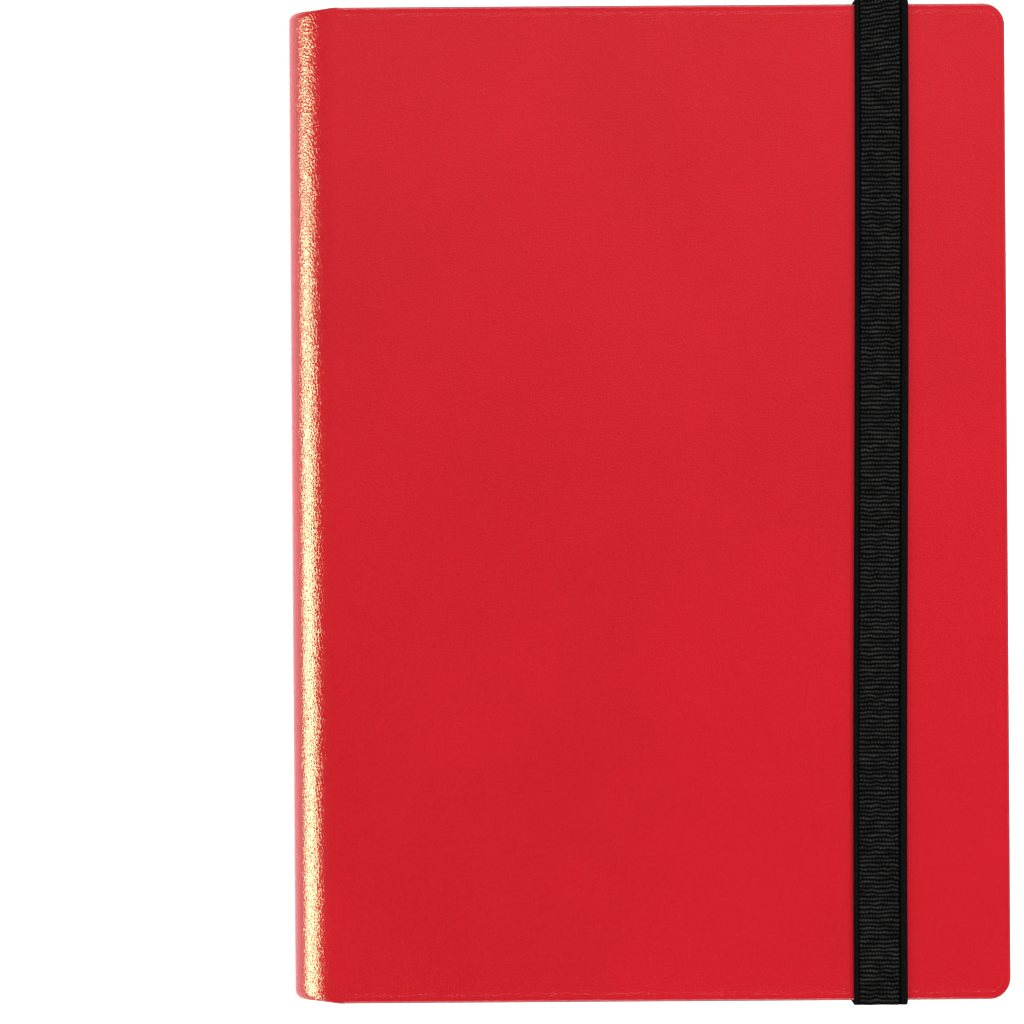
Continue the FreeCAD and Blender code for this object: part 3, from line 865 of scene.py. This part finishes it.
def make_camera():
    """Straight down on the front cover. The binder stands right of the frame's middle."""
    data = bpy.data.cameras.new("camera")
    data.sensor_width = 36
    data.lens = data.sensor_width * CAMERA_RISE / VIEW_WIDTH
    data.clip_start = 0.05
    data.clip_end = 40
    camera = bpy.data.objects.new("camera", data)
    bpy.context.scene.collection.objects.link(camera)
    right = Vector((math.cos(CAMERA_TURN), -math.sin(CAMERA_TURN), 0))
    up = Vector((math.sin(CAMERA_TURN), math.cos(CAMERA_TURN), 0))
    camera.location = Vector((0, 0, HEIGHT + CAMERA_RISE)) - right * CAMERA_ASIDE - up * CAMERA_BELOW
    camera.rotation_euler = (0, 0, -CAMERA_TURN)
    bpy.context.scene.camera = camera


WHITE = (1.0, 1.0, 1.0)


def area_light(name, place, target, size, energy, color=WHITE, seen_in=("diffuse", "gloss")):
    """A rectangular light that may show in only the diffuse or only the glossy light."""
    data = bpy.data.lights.new(name, "AREA")
    data.shape = "RECTANGLE"
    data.size, data.size_y = size
    data.energy = energy
    data.color = color
    light = bpy.data.objects.new(name, data)
    bpy.context.scene.collection.objects.link(light)
    light.location = place
    light.rotation_euler = (Vector(target) - Vector(place)).to_track_quat("-Z", "Y").to_euler()
    light.visible_diffuse = "diffuse" in seen_in
    light.visible_glossy = "gloss" in seen_in


def make_floor():
    """A plain white table that gives off some light of its own, so it stays white."""
    reach = 12
    corners = [(-reach, -reach, 0), (reach, -reach, 0), (reach, reach, 0), (-reach, reach, 0)]
    floor = mesh_piece("floor", corners, [(0, 1, 2, 3)], smooth=False)
    material, shader = new_material("floor_look", (0.9, 0.9, 0.9), 0.9, 0.1)
    (cloud,) = textures(material, ("ShaderNodeTexNoise", {"Scale": 3.0, "Detail": 2.0}))
    link(material, blend_colors(material, cloud.outputs["Fac"], (0.89, 0.89, 0.89), (0.91, 0.91, 0.91)),
         shader.inputs["Base Color"])
    shader.inputs["Emission Color"].default_value = (1, 1, 1, 1)
    shader.inputs["Emission Strength"].default_value = 0.6
    floor.data.materials.append(material)


def make_sky():
    """An even room: bright round the horizon and dim overhead, so flat gloss stays deep in colour."""
    world = bpy.data.worlds.new("studio")
    world.use_nodes = True
    background = world.node_tree.nodes["Background"]
    background.inputs["Color"].default_value = (0.96, 0.98, 1, 1)
    direction = world.node_tree.nodes.new("ShaderNodeTexCoord").outputs["Generated"]
    parts = world.node_tree.nodes.new("ShaderNodeSeparateXYZ")
    height = world.node_tree.nodes.new("ShaderNodeMapRange")
    height.interpolation_type = "SMOOTHSTEP"
    ends = {"From Min": 0.10, "From Max": 0.6, "To Min": 0.95, "To Max": 0.05}
    for label, value in ends.items():
        height.inputs[label].default_value = value
    world.node_tree.links.new(direction, parts.inputs["Vector"])
    world.node_tree.links.new(parts.outputs["Z"], height.inputs["Value"])
    world.node_tree.links.new(height.outputs["Result"], background.inputs["Strength"])
    bpy.context.scene.world = world


def make_light():
    """The sky, a coloured window that puts the bright line on the shoulder, and soft lights."""
    make_sky()
    table = (0.0, 0.0, 0.0)
    area_light("window", (-1.21, -0.25, 0.66), (SPINE_FACE, -0.25, HEIGHT), (1.06, 0.42), 35.0,
               (0.66, 0.98, 0.53), seen_in=("gloss",))
    area_light("ceiling_glow", (0.0, 0.57, 1.53), (0.0, 0.57, 0.0), (1.6, 0.92), 0.9, seen_in=("gloss",))
    area_light("right_softbox", (1.15, 0.1, 0.95), table, (0.9, 0.9), 16.4, seen_in=("diffuse",))
    area_light("head_softbox", (0.1, 1.6, 1.15), table, (1.6, 1.6), 24.4)
    area_light("tail_softbox", (0.0, -1.6, 1.15), table, (1.6, 1.6), 24.4)
    area_light("left_softbox", (-1.5, 0.0, 0.8), table, (0.6, 0.6), 12.0, seen_in=("diffuse",))
    bpy.context.scene.view_settings.view_transform = "Standard"


make_case()
make_strap()
make_leaves()
make_cards()
finish_cad_nodes()
make_camera()
make_floor()
make_light()
